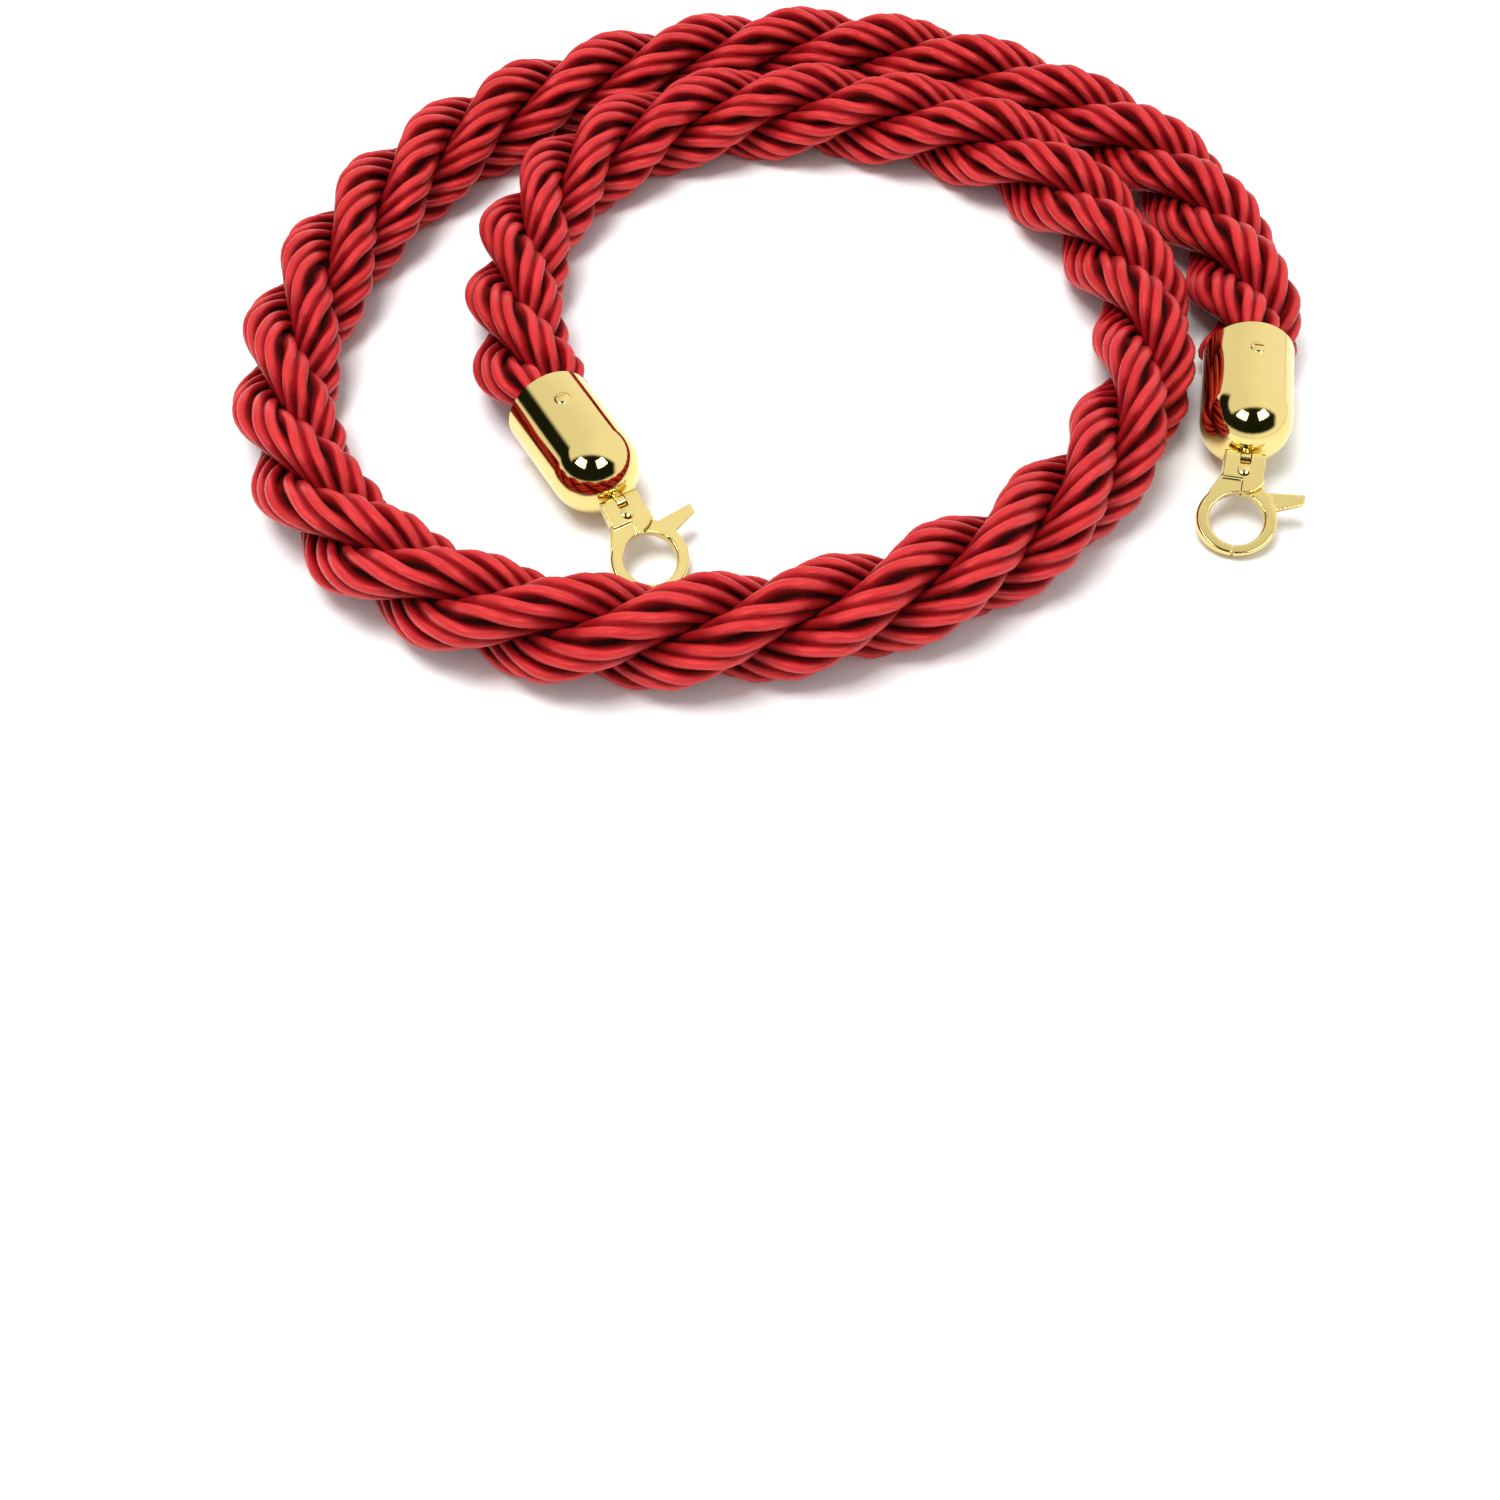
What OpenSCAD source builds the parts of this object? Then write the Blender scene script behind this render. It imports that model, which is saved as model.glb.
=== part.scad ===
// Barrier rope: a thick three-strand rope of twisted cords, lying in one and a half
// loose turns, with a domed metal end cap and a swivelling snap hook on each end.
// Millimetres, +Z up, the floor at Z = 0.

/* [Rope] */
// Diameter of the rope at the middle of its strand crowns
rope_d = 32; // [26:1:33]
// Sides of the rope's plain tube
rope_sides = 12; // [8:1:12]
// How far the rope goes into each end cap
rope_grip = 25; // [20:1:28]

/* [End cap] */
// Outer diameter of the cap
cap_d = 30; // [28:1:30]
// Thickness of the cap's spun wall
cap_wall = 1.2; // [0.8:0.1:1.6]
// Length of the cap's straight part, from its mouth to its dome
cap_straight = 31; // [30:1:36]
// Distance of the two fixing screws from the cap's mouth
screw_x = 12; // [9:1:14]
// Diameter of a fixing screw's round head
screw_head_d = 5.6; // [4.5:0.1:6.5]

/* [Swivel] */
// Diameter of the swivel stud's neck
neck_d = 4; // [3.4:0.2:4.2]
// Diameter of the stud's head, inside the cap
stud_head_d = 8; // [7:0.5:10]
// Width of the stud's flat eye
eye_w = 3; // [2.4:0.2:3]
// Diameter of the pin that the hook tilts on
tilt_pin_d = 2; // [1.6:0.1:2.2]
// Radial clearance of every turning fit
run_gap = 0.05; // [0.03:0.01:0.08]

/* [Hook] */
// Inner diameter of the closed ring
ring_in_d = 17.4; // [17:0.1:17.8]
// Radial width of the ring's bar at its sides
bar_w = 4.2; // [3.8:0.1:4.4]
// Thickness of the ring's bar
bar_t = 3.8; // [3.6:0.1:4.2]
// Distance of the ring's centre from the tilt pin
ring_x = 20.8; // [20.6:0.1:21]
// Width of the hook's plate
plate_w = 13; // [12:0.5:14]
// Thickness of the hook's plate
plate_t = 4.8; // [4.6:0.1:5]
// Distance of the gate's rivet from the tilt pin
rivet_x = 4.6; // [4.5:0.1:4.7]
// Reach of the gate's thumb lever from the hook's centre line
lever_reach = 20.5; // [18:0.5:24]
// Angle that each hook hangs down at, until its ring meets the floor
droop = 25.5; // [0:0.5:25.5]

/* [Hidden] */

gold = [0.91, 0.76, 0.38];
steel = [0.72, 0.73, 0.75];
rope_red = [0.72, 0.09, 0.13];
tape_dark = [0.16, 0.15, 0.15];

round_fn = 96;
small_fn = 48;
eps = 0.01;

// Route of the rope's centre line, seen from above, before it is moved to the origin.
// The middle of the whole laid-out rope is the origin.
middle = [8, 9];
cap_mouth = [[-66.7, -42.5], [170.3, -17.5]];
cap_heading = [-59, -101];
axis_z = 16;
route_points = [
    [-85, 30], [-75, 70], [-45, 105], [0, 120], [60, 115], [105, 90],
    [130, 45], [140, -5], [125, -55], [90, -100], [35, -130], [-35, -140],
    [-85, -130], [-130, -100], [-155, -55], [-160, 0], [-140, 60], [-105, 110],
    [-50, 140], [0, 155], [50, 155], [105, 130], [150, 95], [170, 50]
];
ring_steps = 2;
bound_less = 1.2;
squeezed_more = 0.3;

// End cap, from its mouth
bore_d = cap_d - 2 * cap_wall;
cap_len = cap_straight + cap_d / 2;
binding_len = 9;
binding_t = 0.9;
binding_gap = 0.1;
screw_len = 8;
screw_d = 2.9;
screw_tip_d = 0.6;
screw_tip_len = 1.5;
screw_head_h = 1.1;
screw_head_sink = 0.2;
driver_slot_w = 0.8;
driver_slot_h = 0.5;

// Swivel and tilt pin
pin_stand_off = 2.8;
tilt_x = cap_len + pin_stand_off;
eye_d = 4.4;
neck_hole_d = neck_d + 2 * run_gap;
washer_d = stud_head_d + 1;
washer_t = 0.8;
stud_head_t = 2;
// The washer's far face, where its rim meets the inside of the dome, and its near face
washer_top_x = cap_straight + sqrt(bore_d ^ 2 - washer_d ^ 2) / 2 - run_gap;
washer_foot_x = washer_top_x - washer_t;
// The slot in the hook that the stud's eye stands in
eye_slot_w = eye_w + 0.4;
eye_slot_x = eye_d / 2 + 0.2;

// Hook, from the tilt pin
ring_mid_r = ring_in_d / 2 + bar_w / 2;
ring_out_r = ring_in_d / 2 + bar_w;
plate_half = plate_w / 2;
shoulder_x = 6;
flare_x = ring_x - 8.4;
flare_half = 10;
flare_end_x = ring_x - 4;
cheek_r = 7.6;
cheek_end_x = rivet_x + 3;
gate_clear_r = 8.1;
gate_slot_x = 2.5;
gate_slot_t = 2.2;
gate_arm_t = 2;
gate_arm_y = 0.4;
gate_arm_lean = 62;
hub_r = 2.2;
hub_gap = 0.3;
hub_t = 0.9;
hub_top_z = hub_t - gate_arm_t / 2;
rivet_d = 2;
rivet_head_d = 4.4;
rivet_head_h = 0.7;
tip_gap = 0.3;
bar_bow = 1.14;
// The ring is a little shorter than it is wide, so its bar is thinner at the tip
ring_short = 0.93;
lever_x = ring_x - 11.2;
lever_root_x = flare_x - 1.6;
lever_root_y = flare_half - 3;
lever_w = 3.4;
lever_t = 3;
spring_wire_d = 0.45;
spring_mid_r = 1.6;
spring_turns = 1.3;
spring_pitch = 0.5;
spring_points = 14;
spring_sides = 8;

// ---- curves and sweeps ----

function spline_at(p, i, t) =
    (p[i] * (1 - t) ^ 3
        + p[i + 1] * (3 * t ^ 3 - 6 * t ^ 2 + 4)
        + p[i + 2] * (-3 * t ^ 3 + 3 * t ^ 2 + 3 * t + 1)
        + p[i + 3] * t ^ 3) / 6;

function spline(p, steps) = [
    for (i = [0:len(p) - 4]) for (k = [0:steps - 1]) spline_at(p, i, k / steps),
    spline_at(p, len(p) - 4, 1)
];

function tangent(path, i) =
    let (d = path[min(i + 1, len(path) - 1)] - path[max(i - 1, 0)]) d / norm(d);

// One ring of points around a path, square to it
function ring_of(centre, along, r, sides) =
    let (side = cross([0, 0, 1], along), across = side / norm(side), up = cross(along, across))
    [for (k = [0:sides - 1]) centre + r * (cos(360 * k / sides) * across + sin(360 * k / sides) * up)];

// A closed tube along a path, with its own radius at every point
module tube(path, radii, sides) {
    n = len(path);
    points = [for (i = [0:n - 1]) each ring_of(path[i], tangent(path, i), radii[i], sides)];
    walls = [
        for (i = [0:n - 2]) for (k = [0:sides - 1])
            let (a = i * sides + k, b = i * sides + (k + 1) % sides)
            [a, a + sides, b + sides, b]
    ];
    start_face = [for (k = [0:sides - 1]) k];
    end_face = [for (k = [sides - 1:-1:0]) (n - 1) * sides + k];
    polyhedron(points, concat([start_face], walls, [end_face]));
}

// ---- places ----

function heading(end) = [cos(cap_heading[end]), sin(cap_heading[end])];

function along_cap(end, x) = cap_mouth[end] + heading(end) * x;

// X runs out of the cap along its axis, from its mouth, and Z stays up
module at_cap(end) {
    mouth = cap_mouth[end] - middle;
    translate([mouth.x, mouth.y, axis_z]) rotate([0, 0, cap_heading[end]]) children();
}

// X runs along the hook from its tilt pin, and Z is square to its plate
module at_hook(end) {
    at_cap(end) translate([tilt_x, 0, 0]) rotate([0, droop, 0]) children();
}

module along_x(x0, x1, d, fn = small_fn) {
    translate([x0, 0, 0]) rotate([0, 90, 0]) cylinder(d = d, h = x1 - x0, $fn = fn);
}

module across_y(half, d, fn = small_fn) {
    rotate([90, 0, 0]) cylinder(d = d, h = 2 * half, center = true, $fn = fn);
}

module slab(x0, x1, y0, y1, t) {
    translate([x0, y0, -t / 2]) cube([x1 - x0, y1 - y0, t]);
}

// ---- rope ----

module rope() {
    flat = concat(
        [for (x = [2, 1, 0, -1]) along_cap(0, x * rope_grip)],
        route_points,
        [for (x = [-1, 0, 1, 2]) along_cap(1, x * rope_grip)]
    );
    path = [for (p = spline(flat, ring_steps)) [p.x - middle.x, p.y - middle.y, axis_z]];
    last = len(path) - 1;
    // The rope is squeezed into the cap's bore, and thinner still where its end is bound
    end_radii = [bore_d / 2 - bound_less, bore_d / 2 + squeezed_more, bore_d / 2 + squeezed_more];
    radii = [
        for (i = [0:last])
            let (from_end = min(i, last - i))
            from_end < len(end_radii) ? end_radii[from_end] : rope_d / 2
    ];
    color(rope_red) tube(path, radii, rope_sides);
}

// ---- end cap and what it holds ----

module dome_profile(r, x_mouth) {
    // Half of a bullet outline, turned about its own Y axis
    intersection() {
        union() {
            translate([0, x_mouth]) square([r, cap_straight - x_mouth]);
            translate([0, cap_straight]) circle(r, $fn = round_fn);
        }
        translate([0, x_mouth]) square([r + 1, cap_len + 1]);
    }
}

module end_cap(end) {
    color(gold) at_cap(end) difference() {
        rotate([0, 90, 0]) rotate([0, 0, 90]) rotate_extrude($fn = round_fn) difference() {
            dome_profile(cap_d / 2, 0);
            dome_profile(bore_d / 2, -1);
        }
        along_x(cap_straight, cap_len + 1, neck_hole_d);
        translate([screw_x, 0, 0]) cylinder(d = screw_d, h = cap_d + 2, center = true, $fn = small_fn);
    }
}

module round_head(d, h) {
    // A low domed head standing on Z = 0
    r = (d ^ 2 / 4 + h ^ 2) / (2 * h);
    intersection() {
        translate([0, 0, h - r]) sphere(r, $fn = round_fn);
        cylinder(d = d, h = h, $fn = small_fn);
    }
}

module cap_screws(end) {
    seat_z = cap_d / 2 - screw_head_sink;
    shank_d = screw_d - 2 * run_gap;
    color(gold) at_cap(end) for (turn = [0, 180]) rotate([turn, 0, 0]) translate([screw_x, 0, seat_z]) {
        difference() {
            round_head(screw_head_d, screw_head_h);
            translate([-driver_slot_w / 2, -screw_head_d, screw_head_h - driver_slot_h])
                cube([driver_slot_w, 2 * screw_head_d, screw_head_h]);
        }
        translate([0, 0, -screw_len])
            cylinder(d = shank_d, h = screw_len + screw_head_sink, $fn = small_fn);
        translate([0, 0, -screw_len - screw_tip_len])
            cylinder(d1 = screw_tip_d, d2 = shank_d, h = screw_tip_len, $fn = small_fn);
    }
}

module end_binding(end) {
    color(tape_dark) at_cap(end) difference() {
        along_x(rope_grip - binding_len, rope_grip + 1, bore_d - 2 * binding_gap, round_fn);
        along_x(
            rope_grip - binding_len - 1, rope_grip + 2, bore_d - 2 * (binding_gap + binding_t), round_fn
        );
    }
}

// ---- swivel ----

module swivel_stud(end) {
    color(steel) at_cap(end) difference() {
        union() {
            along_x(washer_foot_x - stud_head_t, washer_foot_x, stud_head_d);
            along_x(washer_foot_x - eps, cap_len + 0.1, neck_d);
            intersection() {
                along_x(cap_len, tilt_x, neck_d);
                slab(cap_len, tilt_x, -eye_w / 2, eye_w / 2, 2 * neck_d);
            }
            translate([tilt_x, 0, 0]) across_y(eye_w / 2, eye_d);
        }
        translate([tilt_x, 0, 0]) across_y(eye_w, tilt_pin_d + 2 * run_gap);
    }
}

module swivel_washer(end) {
    color(steel) at_cap(end) difference() {
        along_x(washer_foot_x + run_gap, washer_top_x, washer_d);
        along_x(washer_foot_x - 1, washer_top_x + 1, neck_hole_d);
    }
}

module tilt_pin(end) {
    color(steel) at_hook(end) across_y(plate_half - 0.1, tilt_pin_d);
}

// ---- hook, in its own frame ----

module ring_bar() {
    translate([ring_x, 0, 0]) scale([ring_short, 1, 1]) rotate_extrude($fn = round_fn)
        translate([ring_mid_r, 0]) intersection() {
            circle(d = bar_bow * bar_w, $fn = small_fn);
            square([bar_w, bar_t], center = true);
        }
}

// The plate's outline on one side, which flares out to meet the ring
module half_plate() {
    polygon([
        [0, 0], [0, plate_half], [shoulder_x, plate_half],
        [flare_x, flare_half], [flare_end_x, flare_half], [flare_end_x, 0]
    ]);
}

module ring_hole() {
    translate([ring_x, 0, 0]) cylinder(d = ring_in_d, h = 3 * plate_t, center = true, $fn = round_fn);
}

module around_rivet(r, t) {
    translate([rivet_x, 0, 0]) cylinder(r = r, h = t, center = true, $fn = round_fn);
}

module hook_body(end) {
    color(gold) at_hook(end) difference() {
        union() {
            across_y(plate_half, plate_t);
            // The side that stays still: half of the plate and half of the ring
            mirror([0, 1, 0]) linear_extrude(bar_t, center = true) half_plate();
            slab(0, cheek_end_x, -plate_half, plate_half, plate_t);
            difference() {
                ring_bar();
                slab(-1, 2 * ring_x, -tip_gap / 2, ring_x, 2 * bar_t);
            }
            // The cheeks over and under the gate's hub
            intersection() {
                linear_extrude(plate_t, center = true) half_plate();
                around_rivet(cheek_r, plate_t);
            }
        }
        ring_hole();
        // The slot that the gate's hub and arm turn in
        slab(gate_slot_x, ring_x, 0, ring_x, gate_slot_t);
        around_rivet(hub_r + hub_gap, gate_slot_t);
        // The slot that the swivel's eye stands in
        slab(-plate_t, eye_slot_x, -eye_slot_w / 2, eye_slot_w / 2, 2 * plate_t);
        across_y(plate_w, tilt_pin_d);
        translate([rivet_x, 0, 0]) cylinder(d = rivet_d, h = 2 * plate_t, center = true, $fn = small_fn);
    }
}

module hook_gate(end) {
    color(gold) at_hook(end) difference() {
        union() {
            // The half of the ring that opens, with its shoulder and thumb lever
            difference() {
                union() {
                    intersection() {
                        ring_bar();
                        slab(0, 2 * ring_x, tip_gap / 2, ring_x, 2 * bar_t);
                    }
                    linear_extrude(bar_t, center = true) intersection() {
                        half_plate();
                        translate([ring_x, 0]) circle(ring_out_r, $fn = round_fn);
                    }
                    linear_extrude(lever_t, center = true) polygon([
                        [lever_root_x, lever_root_y], [lever_x, lever_reach],
                        [lever_x + lever_w, lever_reach], [flare_end_x, flare_half]
                    ]);
                }
                around_rivet(gate_clear_r, 2 * plate_t);
            }
            // The thin arm that goes in between the cheeks, to the hub
            intersection() {
                linear_extrude(gate_arm_t, center = true) polygon([
                    [rivet_x, gate_arm_y], [ring_x, gate_arm_y],
                    [rivet_x + ring_x * cos(gate_arm_lean), gate_arm_y + ring_x * sin(gate_arm_lean)]
                ]);
                around_rivet(gate_clear_r + 0.5, plate_t);
            }
            around_rivet(hub_r, gate_arm_t);
        }
        ring_hole();
        // The upper half of the hub is cut away, for the spring
        translate([rivet_x, 0, hub_top_z]) cylinder(r = hub_r + hub_gap, h = plate_t, $fn = small_fn);
        translate([rivet_x, 0, 0])
            cylinder(d = rivet_d + 2 * run_gap, h = 2 * plate_t, center = true, $fn = small_fn);
    }
}

module gate_rivet(end) {
    color(gold) at_hook(end) translate([rivet_x, 0, 0]) {
        cylinder(d = rivet_d, h = plate_t, center = true, $fn = small_fn);
        for (turn = [0, 180]) rotate([turn, 0, 0]) translate([0, 0, plate_t / 2])
            round_head(rivet_head_d, rivet_head_h);
    }
}

module gate_spring(end) {
    coil = [
        for (k = [0:spring_points * spring_turns])
            let (turn = 360 * k / spring_points)
            [spring_mid_r * cos(turn), spring_mid_r * sin(turn), spring_pitch * turn / 360]
    ];
    color(steel) at_hook(end) translate([rivet_x, 0, hub_top_z + spring_wire_d / 2 + run_gap])
        tube(coil, [for (p = coil) spring_wire_d / 2], spring_sides);
}

rope();
end_cap(0);  // end_cap_a
cap_screws(0);  // cap_screws_a
end_binding(0);  // end_binding_a
swivel_stud(0);  // swivel_stud_a
swivel_washer(0);  // swivel_washer_a
tilt_pin(0);  // tilt_pin_a
hook_body(0);  // hook_body_a
hook_gate(0);  // hook_gate_a
gate_rivet(0);  // gate_rivet_a
gate_spring(0);  // gate_spring_a
end_cap(1);  // end_cap_b
cap_screws(1);  // cap_screws_b
end_binding(1);  // end_binding_b
swivel_stud(1);  // swivel_stud_b
swivel_washer(1);  // swivel_washer_b
tilt_pin(1);  // tilt_pin_b
hook_body(1);  // hook_body_b
hook_gate(1);  // hook_gate_b
gate_rivet(1);  // gate_rivet_b
gate_spring(1);  // gate_spring_b
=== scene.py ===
import math

import bmesh
import bpy
import numpy as np
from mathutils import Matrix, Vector


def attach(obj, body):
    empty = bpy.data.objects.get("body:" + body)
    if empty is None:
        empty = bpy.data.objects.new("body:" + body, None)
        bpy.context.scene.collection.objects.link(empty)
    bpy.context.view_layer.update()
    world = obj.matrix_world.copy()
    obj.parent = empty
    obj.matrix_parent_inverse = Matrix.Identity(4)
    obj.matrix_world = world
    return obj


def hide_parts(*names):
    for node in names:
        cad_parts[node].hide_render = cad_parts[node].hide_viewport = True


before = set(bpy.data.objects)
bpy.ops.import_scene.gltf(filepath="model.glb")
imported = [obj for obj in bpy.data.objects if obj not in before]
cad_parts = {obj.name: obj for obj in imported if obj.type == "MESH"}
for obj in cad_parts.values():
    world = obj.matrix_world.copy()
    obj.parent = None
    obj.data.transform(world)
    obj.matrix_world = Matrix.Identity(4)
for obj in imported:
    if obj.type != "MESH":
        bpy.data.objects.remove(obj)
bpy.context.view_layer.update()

# Lengths are in metres. Angles are in radians, unless a name or a comment says degrees.

# ---- camera ----

CAMERA_PLACE = (-0.008, -0.446, 0.4075)
CAMERA_TILT = math.radians(33.4)
SENSOR_WIDTH_MM = 36.0
LENS_MM = 39.18

# ---- the rope's route, as in part.scad ----

# Seen from above, before its middle is moved to the origin
MIDDLE = np.array((0.008, 0.009))
AXIS_Z = 0.016
CAP_MOUTH = {"a": np.array((-0.0667, -0.0425)), "b": np.array((0.1703, -0.0175))}
CAP_HEADING = {"a": math.radians(-59), "b": math.radians(-101)}
ROPE_GRIP = 0.025
ROUTE = [
    (-0.085, 0.030), (-0.075, 0.070), (-0.045, 0.105), (0.000, 0.120),
    (0.060, 0.115), (0.105, 0.090), (0.130, 0.045), (0.140, -0.005),
    (0.125, -0.055), (0.090, -0.100), (0.035, -0.130), (-0.035, -0.140),
    (-0.085, -0.130), (-0.130, -0.100), (-0.155, -0.055), (-0.160, 0.000),
    (-0.140, 0.060), (-0.105, 0.110), (-0.050, 0.140), (0.000, 0.155),
    (0.050, 0.155), (0.105, 0.130), (0.150, 0.095), (0.170, 0.050),
]
SPLINE_STEPS = 60

RING_STEP = 0.00255

# ---- the rope's make ----

# Three strands are laid left-handed. Each has four plies laid the other way, and each ply shows two yarns
STRANDS = 3
LAY_LENGTH = 0.115
FIRST_STRAND_ANGLE = 0.4
STRAND_RADIUS = 0.00935
STRAND_WIDTH = 1.03
PLIES = 4
PLY_LAY_LENGTH = 0.0485
PLY_PUFF = 0.04
YARN_RADIUS = 0.00182
YARN_OUT = 0.0064
YARN_SPREAD = math.radians(16.4)
# The crease between a ply's two yarns
CREASE_OUT = 0.0065

# The gap between two plies is open on the rope's outer side, and shut well away from it
GAP_OPEN_ANGLE = 0.95
GAP_FLOOR = 0.0030
GAP_SHUT = 0.0060
GAP_SHUT_TURN = math.radians(5)
GAP_SHUT_SWELL = 0.12

# The valley between two strands begins and is out of sight at these angles around a strand
VALLEY_FROM = math.radians(56)
VALLEY_TO = math.radians(96)
VALLEY_FLOOR = 0.0046

# The filling that the strands are laid around
CORE_RADIUS = 0.0064
CORE_SIDES = 8

# Inside the caps the rope is squeezed to their bore, and outside them it swells to its full size
BORE_RADIUS = 0.0136
SQUEEZE_RUN = 0.009

# Below this height the crowns are pressed flat by the floor
PRESSED_BELOW = 0.0015

# A yarn's outline: degrees from straight out, positive towards the gap and negative towards the crease,
# and how much painted shade that point gets for how deep in the cavity beside the yarn it lies, from 0 on
# its crown
YARN_OUTLINE = [(125, 1.0), (75, 0.5), (35, 0.12), (0, 0.0), (-35, 0.12), (-70, 0.6)]

# How much painted shade the other points get for how deep in a cavity they lie, and how much painted shade
# the valley or an open gap adds
CREASE_PAINTED_SHADE = 0.85
GAP_PAINTED_SHADE = 1.0
CORE_PAINTED_SHADE = 1.5
YARN_SHADE_IN_VALLEY = 0.5
CREASE_SHADE_IN_VALLEY = 0.4
OPEN_GAP_SHADE = 0.7

# How the lay strays from perfect: a seed, the wave along the rope, and the size of the change
STRAYS = {
    "lay_angle": (7, 0.2, 0.25),
    "strand_reach": (5, 0.08, 0.0003),
    "strand_turn": (0, 0.06, 0.12),
    "ply_turn": (10, 0.045, 0.08),
    "yarn_spread": (20, 0.03, 0.08),
    "yarn_size": (30, 0.035, 0.06),
    "yarn_out": (50, 0.03, 0.00025),
}
STRAND_SEED = 100
# Sets the strands' yarn numbers apart, so that no two yarns share a pattern
STRAND_YARNS = 10

UP = np.array((0.0, 0.0, 1.0))

# ---- hardware ----

MERGE_WITHIN = 2e-6
FLAT_WITHIN = math.radians(1)
SHARP_ABOVE = math.radians(32)
CAP_EDGE = 0.0004
SCREW_EDGE = 0.00012
RIVET_EDGE = 0.0001
CAST_VOXEL = 0.0002
CAST_PASSES = 12

# ---- colours, as linear red, green, blue and alpha ----

SATIN_CROWN = ((0.60, 0.026, 0.028, 1), (0.76, 0.048, 0.052, 1))
SATIN_THREAD = (0.46, 0.018, 0.020, 1)
# Painted shade: the colour the yarns' flanks and creases darken to, and the near black of the gaps, valleys
# and filling
SATIN_PAINTED_FLANK_SHADE = (0.24, 0.0015, 0.004, 1)
SATIN_PAINTED_DEEP_SHADE = (0.02, 0.0, 0.0, 1)
SATIN_SHEEN = (1.0, 0.36, 0.34, 1)
GOLD = ((0.80, 0.63, 0.23, 1), (0.88, 0.70, 0.28, 1))
STEEL = ((0.42, 0.43, 0.45, 1), (0.62, 0.63, 0.65, 1))
TAPE = ((0.012, 0.011, 0.011, 1), (0.035, 0.032, 0.03, 1))
FLOOR = ((0.93, 0.93, 0.93, 1), (0.96, 0.96, 0.96, 1))
FLOOR_HALF_WIDTH = 3.0

# What polished metal mirrors, and the even light that everything else gets
ROOM = ((0.92, 0.92, 0.92, 1), (1.08, 1.08, 1.08, 1))
DARK_ZONE = (0.010, 0.013, 0.008, 1)
WINDOW = (7.0, 7.0, 7.0, 1)
AMBIENT = (0.66, 0.66, 0.66, 1)

KEY_PLACE = (-0.25, -0.1, 1.2)
KEY_AIM = (0, 0, 0)
KEY_SIZE = (0.6, 0.6)
KEY_POWER = 14


def linked(name, data):
    """A new object in the scene."""
    made = bpy.data.objects.new(name, data)
    bpy.context.collection.objects.link(made)
    return made


def smooth_faces(mesh):
    mesh.polygons.foreach_set("use_smooth", np.ones(len(mesh.polygons), bool))


def camera():
    data = bpy.data.cameras.new("camera")
    data.sensor_width = SENSOR_WIDTH_MM
    data.lens = LENS_MM
    cam = linked("camera", data)
    cam.location = CAMERA_PLACE
    cam.rotation_euler = (CAMERA_TILT, 0, 0)
    bpy.context.scene.camera = cam


# ---- rope ----

def heading(end):
    return np.array((math.cos(CAP_HEADING[end]), math.sin(CAP_HEADING[end])))


def centre_line():
    """How far along the rope each ring is, and the rings' centres, which are on a uniform cubic B-spline."""
    start = [CAP_MOUTH["a"] + heading("a") * ROPE_GRIP * k for k in (2, 1, 0, -1)]
    stop = [CAP_MOUTH["b"] + heading("b") * ROPE_GRIP * k for k in (-1, 0, 1, 2)]
    knots = np.array(start + [np.array(p) for p in ROUTE] + stop) - MIDDLE
    t = np.linspace(0, 1, SPLINE_STEPS, endpoint=False)[:, None]
    basis = ((1 - t) ** 3, 3 * t**3 - 6 * t**2 + 4, -3 * t**3 + 3 * t**2 + 3 * t + 1, t**3)
    fine = np.concatenate([
        sum(b * knots[i + k] for k, b in enumerate(basis)) / 6 for i in range(len(knots) - 3)
    ])
    run = np.concatenate(([0], np.cumsum(np.linalg.norm(np.diff(fine, axis=0), axis=1))))
    count = int(run[-1] / RING_STEP) + 1
    at = np.linspace(0, run[-1], count)
    flat = np.stack([np.interp(at, run, fine[:, k]) for k in (0, 1)], axis=1)
    return at, np.column_stack((flat, np.full(count, AXIS_Z)))


def smooth_step(t):
    return t * t * (3 - 2 * t)


def stray(at, what, seed=0):
    """A smooth random value at every ring, which changes over about one wave of its kind."""
    own_seed, wave, size = STRAYS[what]
    draw = np.random.default_rng(seed + own_seed)
    knots = np.arange(-2, at[-1] / wave + 3)
    values = draw.uniform(-1, 1, len(knots))
    x = at / wave
    i = np.floor(x).astype(int)
    t = smooth_step(x - i)
    return size * (values[i + 2] * (1 - t) + values[i + 3] * t)


def openness(angle):
    """How far a gap is open: 1 on the rope's outer side and 0 well away from it."""
    off = np.arctan2(np.sin(angle), np.cos(angle))
    return np.exp(-((off / GAP_OPEN_ANGLE) ** 2))


def in_valley(angle):
    """How deep a point is in the valley to the next strand: 0 on the outer side, and 1 out of sight."""
    off = np.abs(np.arctan2(np.sin(angle), np.cos(angle)))
    return smooth_step(np.clip((off - VALLEY_FROM) / (VALLEY_TO - VALLEY_FROM), 0, 1))


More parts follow.
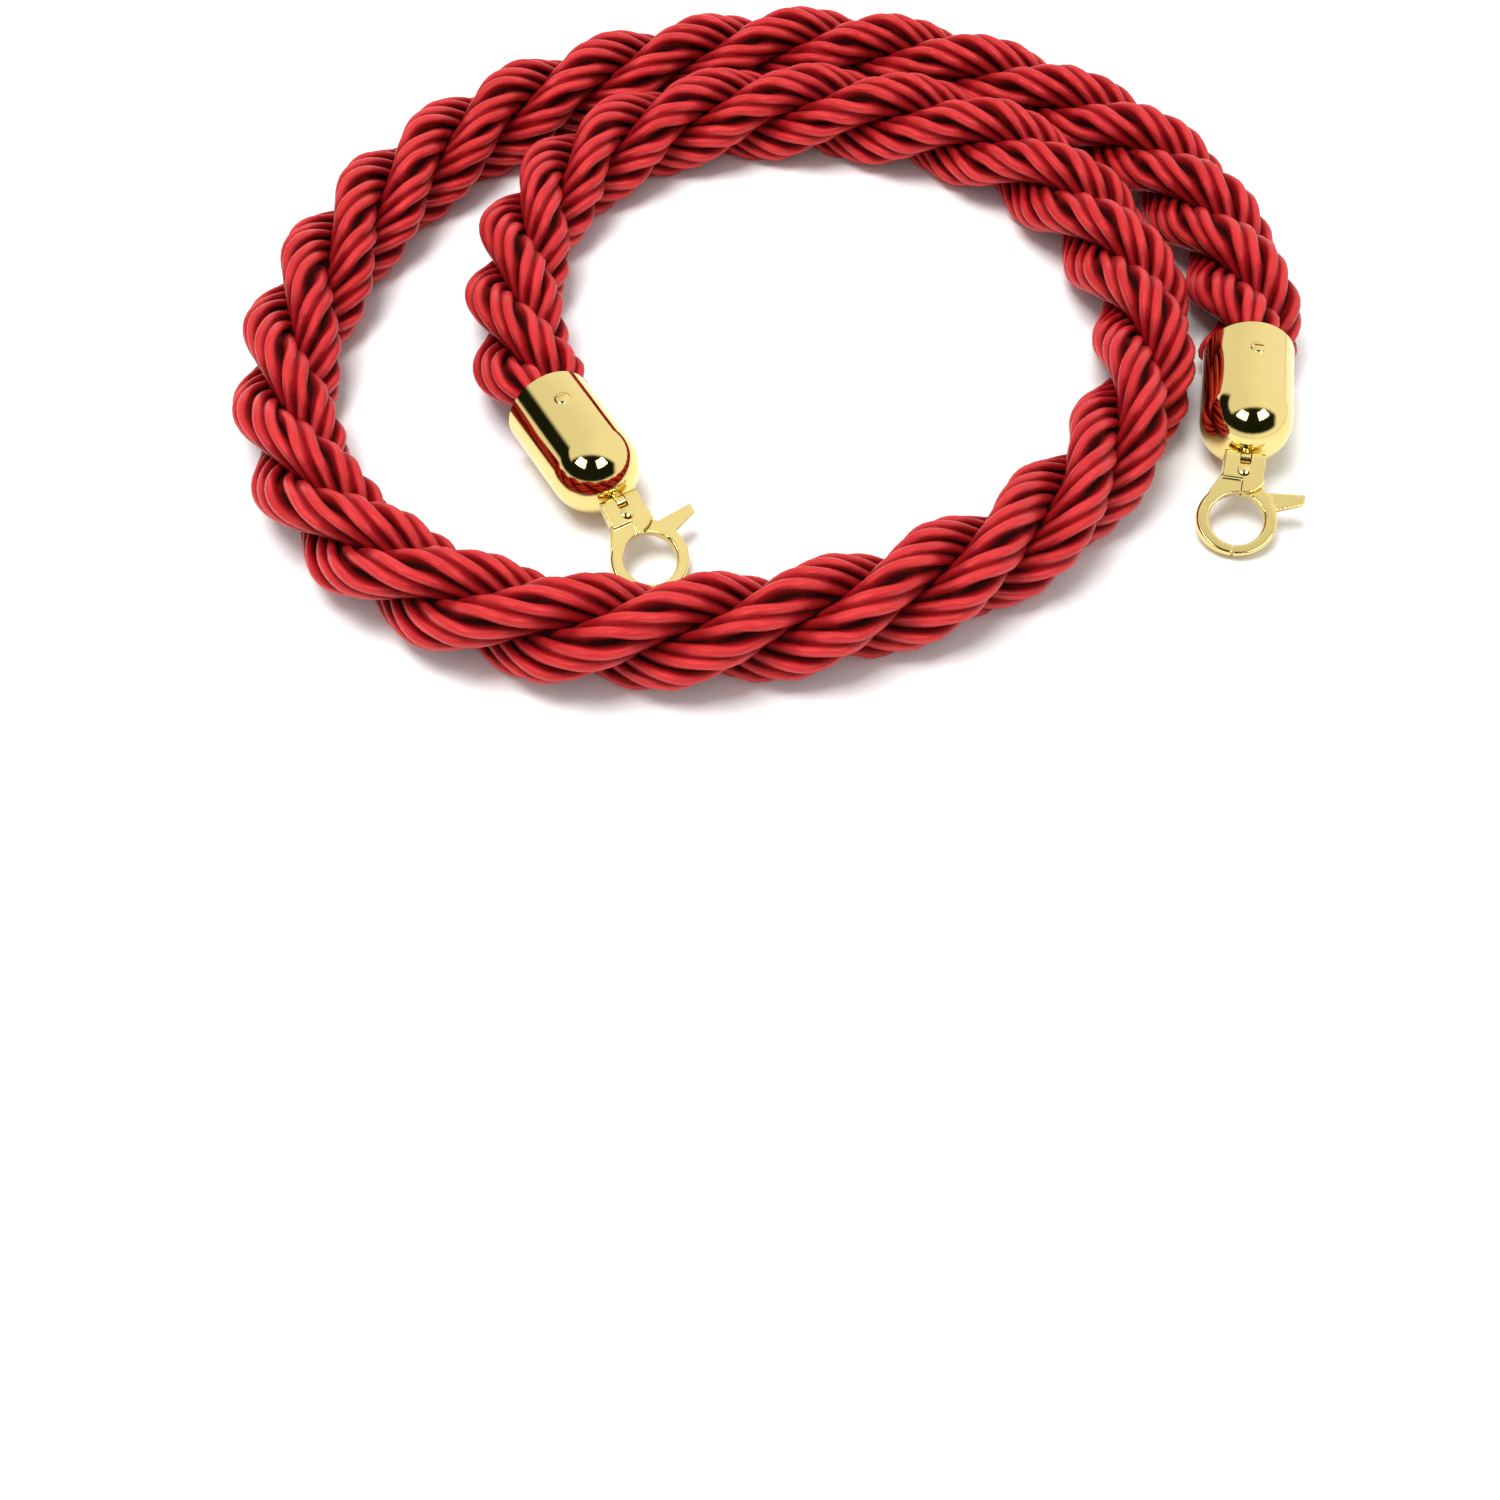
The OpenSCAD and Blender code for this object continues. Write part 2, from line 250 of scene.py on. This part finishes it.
def strand_profile(at, seed):
    """One strand's outline at every ring, as columns. Each has x outwards, y across, how much painted shade
    it gets for how deep in a cavity it lies, the place across its yarn, and the yarn's number."""
    turn = 2 * np.pi * at / PLY_LAY_LENGTH + stray(at, "strand_turn", seed)
    columns = []
    for ply in range(PLIES):
        base = turn + 2 * np.pi * ply / PLIES + stray(at, "ply_turn", seed + ply)
        puff = 1 + PLY_PUFF * np.cos(base)
        spread = YARN_SPREAD * (1 + stray(at, "yarn_spread", seed + ply))
        for side in (-1, 1):
            yarn = 2 * ply + (side + 1) // 2
            shut = 1 - openness(base + side * np.pi / PLIES)
            size = YARN_RADIUS * (1 + stray(at, "yarn_size", seed + yarn) + GAP_SHUT_SWELL * shut)
            out = YARN_OUT * puff + stray(at, "yarn_out", seed + yarn)
            centre = base + side * (spread + GAP_SHUT_TURN * shut)
            for degrees, painted_shade in YARN_OUTLINE if side < 0 else reversed(YARN_OUTLINE):
                around = centre + side * math.radians(degrees)
                x = out * np.cos(centre) + size * np.cos(around)
                y = out * np.sin(centre) + size * np.sin(around)
                # Painted shade: the yarn's sides and the valley to the next strand darken the satin's colour
                shade = painted_shade + YARN_SHADE_IN_VALLEY * in_valley(np.arctan2(y, x))
                columns.append((x, y, shade, YARN_RADIUS * math.radians(degrees), yarn))
            if side < 0:
                x = CREASE_OUT * puff * np.cos(base)
                y = CREASE_OUT * puff * np.sin(base)
                shade = CREASE_PAINTED_SHADE + CREASE_SHADE_IN_VALLEY * in_valley(base)
                columns.append((x, y, shade, 0.0, yarn))
        gap = turn + 2 * np.pi * (ply + 0.5) / PLIES
        opened = (GAP_FLOOR - GAP_SHUT) * openness(gap)
        deep = GAP_SHUT + opened + (VALLEY_FLOOR - GAP_SHUT) * in_valley(gap)
        # Painted shade: the gap floor is darkest where the gap is open
        shade = GAP_PAINTED_SHADE + OPEN_GAP_SHADE * openness(gap)
        columns.append((deep * np.cos(gap), deep * np.sin(gap), shade, 0.0, 2 * ply))
    return columns


def squeeze(at):
    """How much of its full width the rope has at every ring."""
    bore = BORE_RADIUS / (STRAND_RADIUS + YARN_OUT + YARN_RADIUS)
    from_mouth = np.minimum(at, at[-1] - at) - ROPE_GRIP
    swell = np.clip(from_mouth / SQUEEZE_RUN, 0, 1)
    return bore + (1 - bore) * (swell * (2 - swell))


def strand_tube(strand, at, path, side, width):
    """One strand: the points, painted shade and yarn coordinates of every ring."""
    seed = STRAND_SEED * (strand + 1)
    theta = 2 * np.pi * strand / STRANDS - 2 * np.pi * at / LAY_LENGTH + FIRST_STRAND_ANGLE
    theta = theta + stray(at, "lay_angle")
    out = np.cos(theta)[:, None] * side + np.sin(theta)[:, None] * UP
    across = -np.sin(theta)[:, None] * side + np.cos(theta)[:, None] * UP
    reach = STRAND_RADIUS + stray(at, "strand_reach", seed)
    profile = strand_profile(at, seed)
    points = np.empty((len(at), len(profile), 3))
    painted_shades = np.empty((len(at), len(profile)))
    yarns = np.empty_like(points)
    for k, (x, y, painted_shade, place, yarn) in enumerate(profile):
        outwards = ((reach + x) * width)[:, None] * out
        sideways = (STRAND_WIDTH * y * width)[:, None] * across
        points[:, k] = path + outwards + sideways
        painted_shades[:, k] = painted_shade
        yarns[:, k, 0] = place
        yarns[:, k, 1] = at
        yarns[:, k, 2] = yarn + STRAND_YARNS * strand
    return points, painted_shades, yarns


def core_tube(path, side, width):
    """The filling, as strand_tube gives a strand."""
    angle = np.linspace(0, 2 * np.pi, CORE_SIDES, endpoint=False)
    spoke = np.cos(angle)[None, :, None] * side[:, None] + np.sin(angle)[None, :, None] * UP
    points = path[:, None] + CORE_RADIUS * width[:, None, None] * spoke
    # The filling is painted in deep shade all over
    return points, np.full(points.shape[:2], CORE_PAINTED_SHADE), np.zeros_like(points)


def tube_faces(rings, sides, base):
    """The faces of a closed tube whose points are numbered from base, ring by ring."""
    ring = np.arange(rings - 1)[:, None] * sides
    k = np.arange(sides)[None, :]
    after = (k + 1) % sides
    quads = np.stack((ring + k, ring + after, ring + sides + after, ring + sides + k), axis=-1)
    start = [base + j for j in reversed(range(sides))]
    stop = [base + (rings - 1) * sides + j for j in range(sides)]
    return (quads.reshape(-1, 4) + base).tolist() + [start, stop]


def rope_mesh():
    """The rope's mesh, with each point's painted shade and yarn coordinates, and the rope's centre line."""
    at, path = centre_line()
    along = np.gradient(path, axis=0)
    along /= np.linalg.norm(along, axis=1)[:, None]
    side = np.column_stack((-along[:, 1], along[:, 0], np.zeros(len(at))))
    width = squeeze(at)
    tubes = [strand_tube(strand, at, path, side, width) for strand in range(STRANDS)]
    tubes.append(core_tube(path, side, width))

    faces = []
    base = 0
    for _, painted_shades, _ in tubes:
        faces += tube_faces(*painted_shades.shape, base)
        base += painted_shades.size
    points = np.concatenate([points.reshape(-1, 3) for points, _, _ in tubes])
    painted_shades = np.concatenate([painted_shades.ravel() for _, painted_shades, _ in tubes])
    yarns = np.concatenate([yarns.reshape(-1, 3) for _, _, yarns in tubes])
    pressed = points[:, 2] < PRESSED_BELOW
    points[pressed, 2] = PRESSED_BELOW * np.exp((points[pressed, 2] - PRESSED_BELOW) / PRESSED_BELOW)

    mesh = bpy.data.meshes.new("rope")
    mesh.from_pydata(points.tolist(), [], faces)
    smooth_faces(mesh)
    # The painted shade that darkens the satin's colour and dulls it in creases, gaps, valleys and the
    # filling
    painted_shade = mesh.attributes.new("painted_shade", "FLOAT", "POINT")
    painted_shade.data.foreach_set("value", painted_shades.astype(np.float32))
    yarn = mesh.attributes.new("yarn", "FLOAT_VECTOR", "POINT")
    yarn.data.foreach_set("vector", yarns.astype(np.float32).ravel())
    mesh.update()
    return mesh, path


# ---- materials ----

class Nodes:
    """Short names for building a node tree. A value is a socket to link, or a constant."""

    def __init__(self, tree):
        self.tree = tree
        tree.nodes.clear()

    def add(self, kind, **settings):
        node = self.tree.nodes.new(kind)
        for name, value in settings.items():
            setattr(node, name, value)
        return node

    def link(self, out, into):
        self.tree.links.new(out, into)

    def feed(self, socket, value):
        if hasattr(value, "links"):
            self.link(value, socket)
        else:
            socket.default_value = value

    def maths(self, operation, a, b=0.0):
        node = self.add("ShaderNodeMath", operation=operation)
        self.feed(node.inputs[0], a)
        self.feed(node.inputs[1], b)
        return node.outputs[0]

    def times(self, *values):
        """The product of two or three values."""
        first, *rest = values
        return self.maths("MULTIPLY", first, self.times(*rest)) if rest else first

    def mix(self, factor, a, b):
        node = self.add("ShaderNodeMix", data_type="RGBA")
        self.feed(node.inputs[0], factor)
        self.feed(node.inputs[6], a)
        self.feed(node.inputs[7], b)
        return node.outputs[2]

    def ramp(self, value, low, high, to_low=0.0, to_high=1.0):
        node = self.add("ShaderNodeMapRange", interpolation_type="SMOOTHSTEP")
        for socket, setting in zip(node.inputs, (value, low, high, to_low, to_high)):
            self.feed(socket, setting)
        return node.outputs[0]

    def band(self, value, low, high, soft):
        """1 between low and high, and 0 outside them."""
        rising = self.ramp(value, low - soft, low + soft)
        falling = self.ramp(value, high - soft, high + soft, 1.0, 0.0)
        return self.times(rising, falling)

    def noise(self, vector, scale, detail=2.0, roughness=0.5):
        node = self.add("ShaderNodeTexNoise")
        self.link(vector, node.inputs["Vector"])
        node.inputs["Scale"].default_value = scale
        node.inputs["Detail"].default_value = detail
        node.inputs["Roughness"].default_value = roughness
        return node.outputs["Fac"]

    def scaled(self, vector, scale):
        node = self.add("ShaderNodeVectorMath", operation="MULTIPLY")
        self.link(vector, node.inputs[0])
        node.inputs[1].default_value = scale
        return node.outputs[0]

    def bump(self, height, strength, distance):
        node = self.add("ShaderNodeBump")
        node.inputs["Strength"].default_value = strength
        node.inputs["Distance"].default_value = distance
        self.link(height, node.inputs["Height"])
        return node.outputs["Normal"]

    def place(self):
        return self.add("ShaderNodeTexCoord").outputs["Object"]


def material(name):
    made = bpy.data.materials.new(name)
    made.use_nodes = True
    nodes = Nodes(made.node_tree)
    shader = nodes.add("ShaderNodeBsdfPrincipled")
    output = nodes.add("ShaderNodeOutputMaterial")
    nodes.link(shader.outputs[0], output.inputs["Surface"])
    return made, nodes, shader


def satin():
    """Red satin: fine threads along each yarn, its own colour on its crown, painted shade on its flanks, and
    painted deep shade and dullness in the gaps.
    """
    made, nodes, shader = material("red_satin")
    yarn = nodes.add("ShaderNodeAttribute", attribute_name="yarn").outputs["Vector"]
    painted_shade = nodes.add("ShaderNodeAttribute", attribute_name="painted_shade").outputs["Fac"]
    threads = nodes.noise(nodes.scaled(yarn, (4000.0, 130.0, 5.0)), 1.0, 3.0, 0.6)
    patches = nodes.noise(nodes.scaled(yarn, (60.0, 45.0, 3.7)), 1.0)
    crown = nodes.mix(nodes.ramp(patches, 0.3, 0.7), *SATIN_CROWN)
    fine = nodes.mix(nodes.ramp(threads, 0.2, 0.75), SATIN_THREAD, crown)
    # Painted shade: darker on the yarns' flanks, and near black deep in the creases, gaps and filling
    painted_flank_shade = nodes.mix(nodes.ramp(painted_shade, 0.12, 0.78), fine, SATIN_PAINTED_FLANK_SHADE)
    deep = nodes.mix(nodes.ramp(painted_shade, 0.85, 1.35), painted_flank_shade, SATIN_PAINTED_DEEP_SHADE)
    nodes.link(deep, shader.inputs["Base Color"])
    gloss = nodes.ramp(threads, 0.2, 0.8, 0.38, 0.28)
    rough = nodes.maths("MAXIMUM", gloss, nodes.ramp(painted_shade, 0.3, 1.0, 0.0, 0.95))
    nodes.link(rough, shader.inputs["Roughness"])
    nodes.link(nodes.bump(threads, 0.35, 0.0002), shader.inputs["Normal"])
    shader.inputs["Metallic"].default_value = 0.12
    shader.inputs["Specular Tint"].default_value = SATIN_SHEEN
    shader.inputs["Specular IOR Level"].default_value = 0.85
    shader.inputs["IOR"].default_value = 1.45
    return made


def gold(name, smooth, dull):
    """Gold plating, whose roughness goes from smooth to dull in faint clouds."""
    made, nodes, shader = material(name)
    place = nodes.place()
    clouds = nodes.noise(place, 90.0, 3.0)
    grain = nodes.noise(place, 2500.0)
    nodes.link(nodes.mix(clouds, *GOLD), shader.inputs["Base Color"])
    nodes.link(nodes.ramp(clouds, 0.3, 0.7, smooth, dull), shader.inputs["Roughness"])
    nodes.link(nodes.bump(grain, 0.04, 0.0001), shader.inputs["Normal"])
    shader.inputs["Metallic"].default_value = 1.0
    return made


def steel():
    made, nodes, shader = material("bright_steel")
    lines = nodes.noise(nodes.scaled(nodes.place(), (300.0, 300.0, 9000.0)), 1.0)
    nodes.link(nodes.mix(lines, *STEEL), shader.inputs["Base Color"])
    nodes.link(nodes.ramp(lines, 0.2, 0.8, 0.18, 0.34), shader.inputs["Roughness"])
    nodes.link(nodes.bump(lines, 0.1, 0.0001), shader.inputs["Normal"])
    shader.inputs["Metallic"].default_value = 1.0
    return made


def tape():
    made, nodes, shader = material("binding_tape")
    weave = nodes.noise(nodes.scaled(nodes.place(), (1500.0, 1500.0, 4000.0)), 1.0, 1.0)
    nodes.link(nodes.mix(weave, *TAPE), shader.inputs["Base Color"])
    nodes.link(nodes.ramp(weave, 0.2, 0.8, 0.7, 0.9), shader.inputs["Roughness"])
    nodes.link(nodes.bump(weave, 0.4, 0.0002), shader.inputs["Normal"])
    return made


# ---- hardware ----

def copied(kind, node):
    """A copy of a CAD node as a piece of its own."""
    piece = linked(f"{kind}_{node}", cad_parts[node].data.copy())
    piece.data.transform(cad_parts[node].matrix_world)
    return piece


def stand_in(piece, node, body, finish):
    """Finishes a piece and lets it stand for its CAD node."""
    mesh = piece.data
    mesh.materials.clear()
    mesh.materials.append(finish)
    smooth_faces(mesh)
    mesh.update()
    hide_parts(node)
    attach(piece, body)


def softened(node, body, finish, width, segments):
    """The CAD node with its sharp edges rounded off."""
    piece = copied("soft", node)
    bm = bmesh.new()
    bm.from_mesh(piece.data)
    bmesh.ops.remove_doubles(bm, verts=bm.verts, dist=MERGE_WITHIN)
    bmesh.ops.dissolve_limit(bm, angle_limit=FLAT_WITHIN, verts=bm.verts, edges=bm.edges)
    sharp = [e for e in bm.edges if len(e.link_faces) == 2 and e.calc_face_angle(0) > SHARP_ABOVE]
    bmesh.ops.bevel(
        bm, geom=sharp, offset=width, offset_type="OFFSET", segments=segments,
        profile=0.5, affect="EDGES", clamp_overlap=True,
    )
    bm.to_mesh(piece.data)
    bm.free()
    # Keeps the flat faces flat where they meet the rounded edges
    even = piece.modifiers.new("even_shading", "WEIGHTED_NORMAL")
    even.weight = 100
    even.thresh = 0.01
    stand_in(piece, node, body, finish)


def cast(node, body, finish):
    """The CAD node as a casting, with all its edges well rounded."""
    piece = copied("cast", node)
    remesh = piece.modifiers.new("skin", "REMESH")
    remesh.mode = "VOXEL"
    remesh.voxel_size = CAST_VOXEL
    smooth = piece.modifiers.new("rounding", "SMOOTH")
    smooth.factor = 0.5
    smooth.iterations = CAST_PASSES
    depsgraph = bpy.context.evaluated_depsgraph_get()
    piece.data = bpy.data.meshes.new_from_object(piece.evaluated_get(depsgraph))
    piece.modifiers.clear()
    stand_in(piece, node, body, finish)


def refinished(node, finish):
    """Gives a CAD node that stays in the scene a better material."""
    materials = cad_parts[node].data.materials
    materials.clear()
    materials.append(finish)


# ---- light and floor ----

def studio():
    """Even light for everything, apart from what polished metal mirrors: a pale room with a dark zone
    over and in front, two windows in it, and a dark strip on the left."""
    world = bpy.data.worlds.new("studio")
    bpy.context.scene.world = world
    world.use_nodes = True
    nodes = Nodes(world.node_tree)
    background = nodes.add("ShaderNodeBackground")
    output = nodes.add("ShaderNodeOutputWorld")
    nodes.link(background.outputs[0], output.inputs["Surface"])
    direction = nodes.add("ShaderNodeSeparateXYZ")
    nodes.link(nodes.add("ShaderNodeTexCoord").outputs["Generated"], direction.inputs[0])
    x, y, z = direction.outputs
    aside = nodes.maths("ABSOLUTE", x)
    ahead = nodes.maths("MAXIMUM", nodes.times(y, -1.0), 0.01)

    over = nodes.times(
        nodes.ramp(aside, 0.8, 0.92, 1.0, 0.0), nodes.ramp(y, -0.14, -0.3), nodes.ramp(z, 0.12, 0.26)
    )
    left = nodes.times(nodes.ramp(x, -0.5, -0.65), nodes.band(z, 0.2, 0.6, 0.05))
    pale = nodes.mix(nodes.ramp(x, -0.4, 0.5), *ROOM)
    room = nodes.mix(nodes.maths("MAXIMUM", over, left), pale, DARK_ZONE)
    windows = nodes.times(
        nodes.band(nodes.maths("DIVIDE", aside, ahead), 0.42, 1.7, 0.06),
        nodes.band(z, 0.67, 0.87, 0.015), nodes.ramp(y, -0.05, -0.15),
    )
    mirrored = nodes.mix(windows, room, WINDOW)
    rays = nodes.add("ShaderNodeLightPath")
    nodes.link(nodes.mix(rays.outputs["Is Glossy Ray"], AMBIENT, mirrored), background.inputs["Color"])


def softbox(name, place, aim, size, power):
    """An area light that polished metal doesn't mirror."""
    data = bpy.data.lights.new(name, "AREA")
    data.shape = "RECTANGLE"
    data.size, data.size_y = size
    data.energy = power
    lamp = linked(name, data)
    lamp.location = place
    lamp.rotation_euler = (Vector(aim) - Vector(place)).to_track_quat("-Z", "Y").to_euler()
    lamp.visible_glossy = False


def floor():
    made, nodes, shader = material("pale_floor")
    mottle = nodes.noise(nodes.place(), 8.0, 3.0)
    nodes.link(nodes.mix(mottle, *FLOOR), shader.inputs["Base Color"])
    shader.inputs["Roughness"].default_value = 0.7
    shader.inputs["Specular IOR Level"].default_value = 0.2
    bm = bmesh.new()
    bmesh.ops.create_grid(bm, x_segments=8, y_segments=8, size=FLOOR_HALF_WIDTH)
    mesh = bpy.data.meshes.new("floor")
    bm.to_mesh(mesh)
    bm.free()
    mesh.materials.append(made)
    plane = linked("floor", mesh)


# ---- the scene ----

camera()
mesh, path = rope_mesh()
rope = linked("satin_rope", mesh)
mesh.materials.append(satin())
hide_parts("rope")
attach(rope, "rope_and_caps")

polished_gold = gold("polished_gold", smooth=0.04, dull=0.09)
cast_gold = gold("cast_gold", smooth=0.14, dull=0.2)
bright_steel = steel()
binding_tape = tape()
for end in "ab":
    softened(f"end_cap_{end}", "rope_and_caps", polished_gold, CAP_EDGE, 3)
    softened(f"cap_screws_{end}", "rope_and_caps", polished_gold, SCREW_EDGE, 2)
    cast(f"hook_body_{end}", f"hook_{end}", cast_gold)
    cast(f"hook_gate_{end}", f"gate_{end}", cast_gold)
    softened(f"gate_rivet_{end}", f"hook_{end}", cast_gold, RIVET_EDGE, 2)
    refinished(f"swivel_stud_{end}", cast_gold)
    refinished(f"tilt_pin_{end}", cast_gold)
    refinished(f"swivel_washer_{end}", bright_steel)
    refinished(f"gate_spring_{end}", bright_steel)
    refinished(f"end_binding_{end}", binding_tape)

studio()
softbox("key", KEY_PLACE, KEY_AIM, KEY_SIZE, KEY_POWER)
floor()
bpy.context.scene.view_settings.view_transform = "Standard"
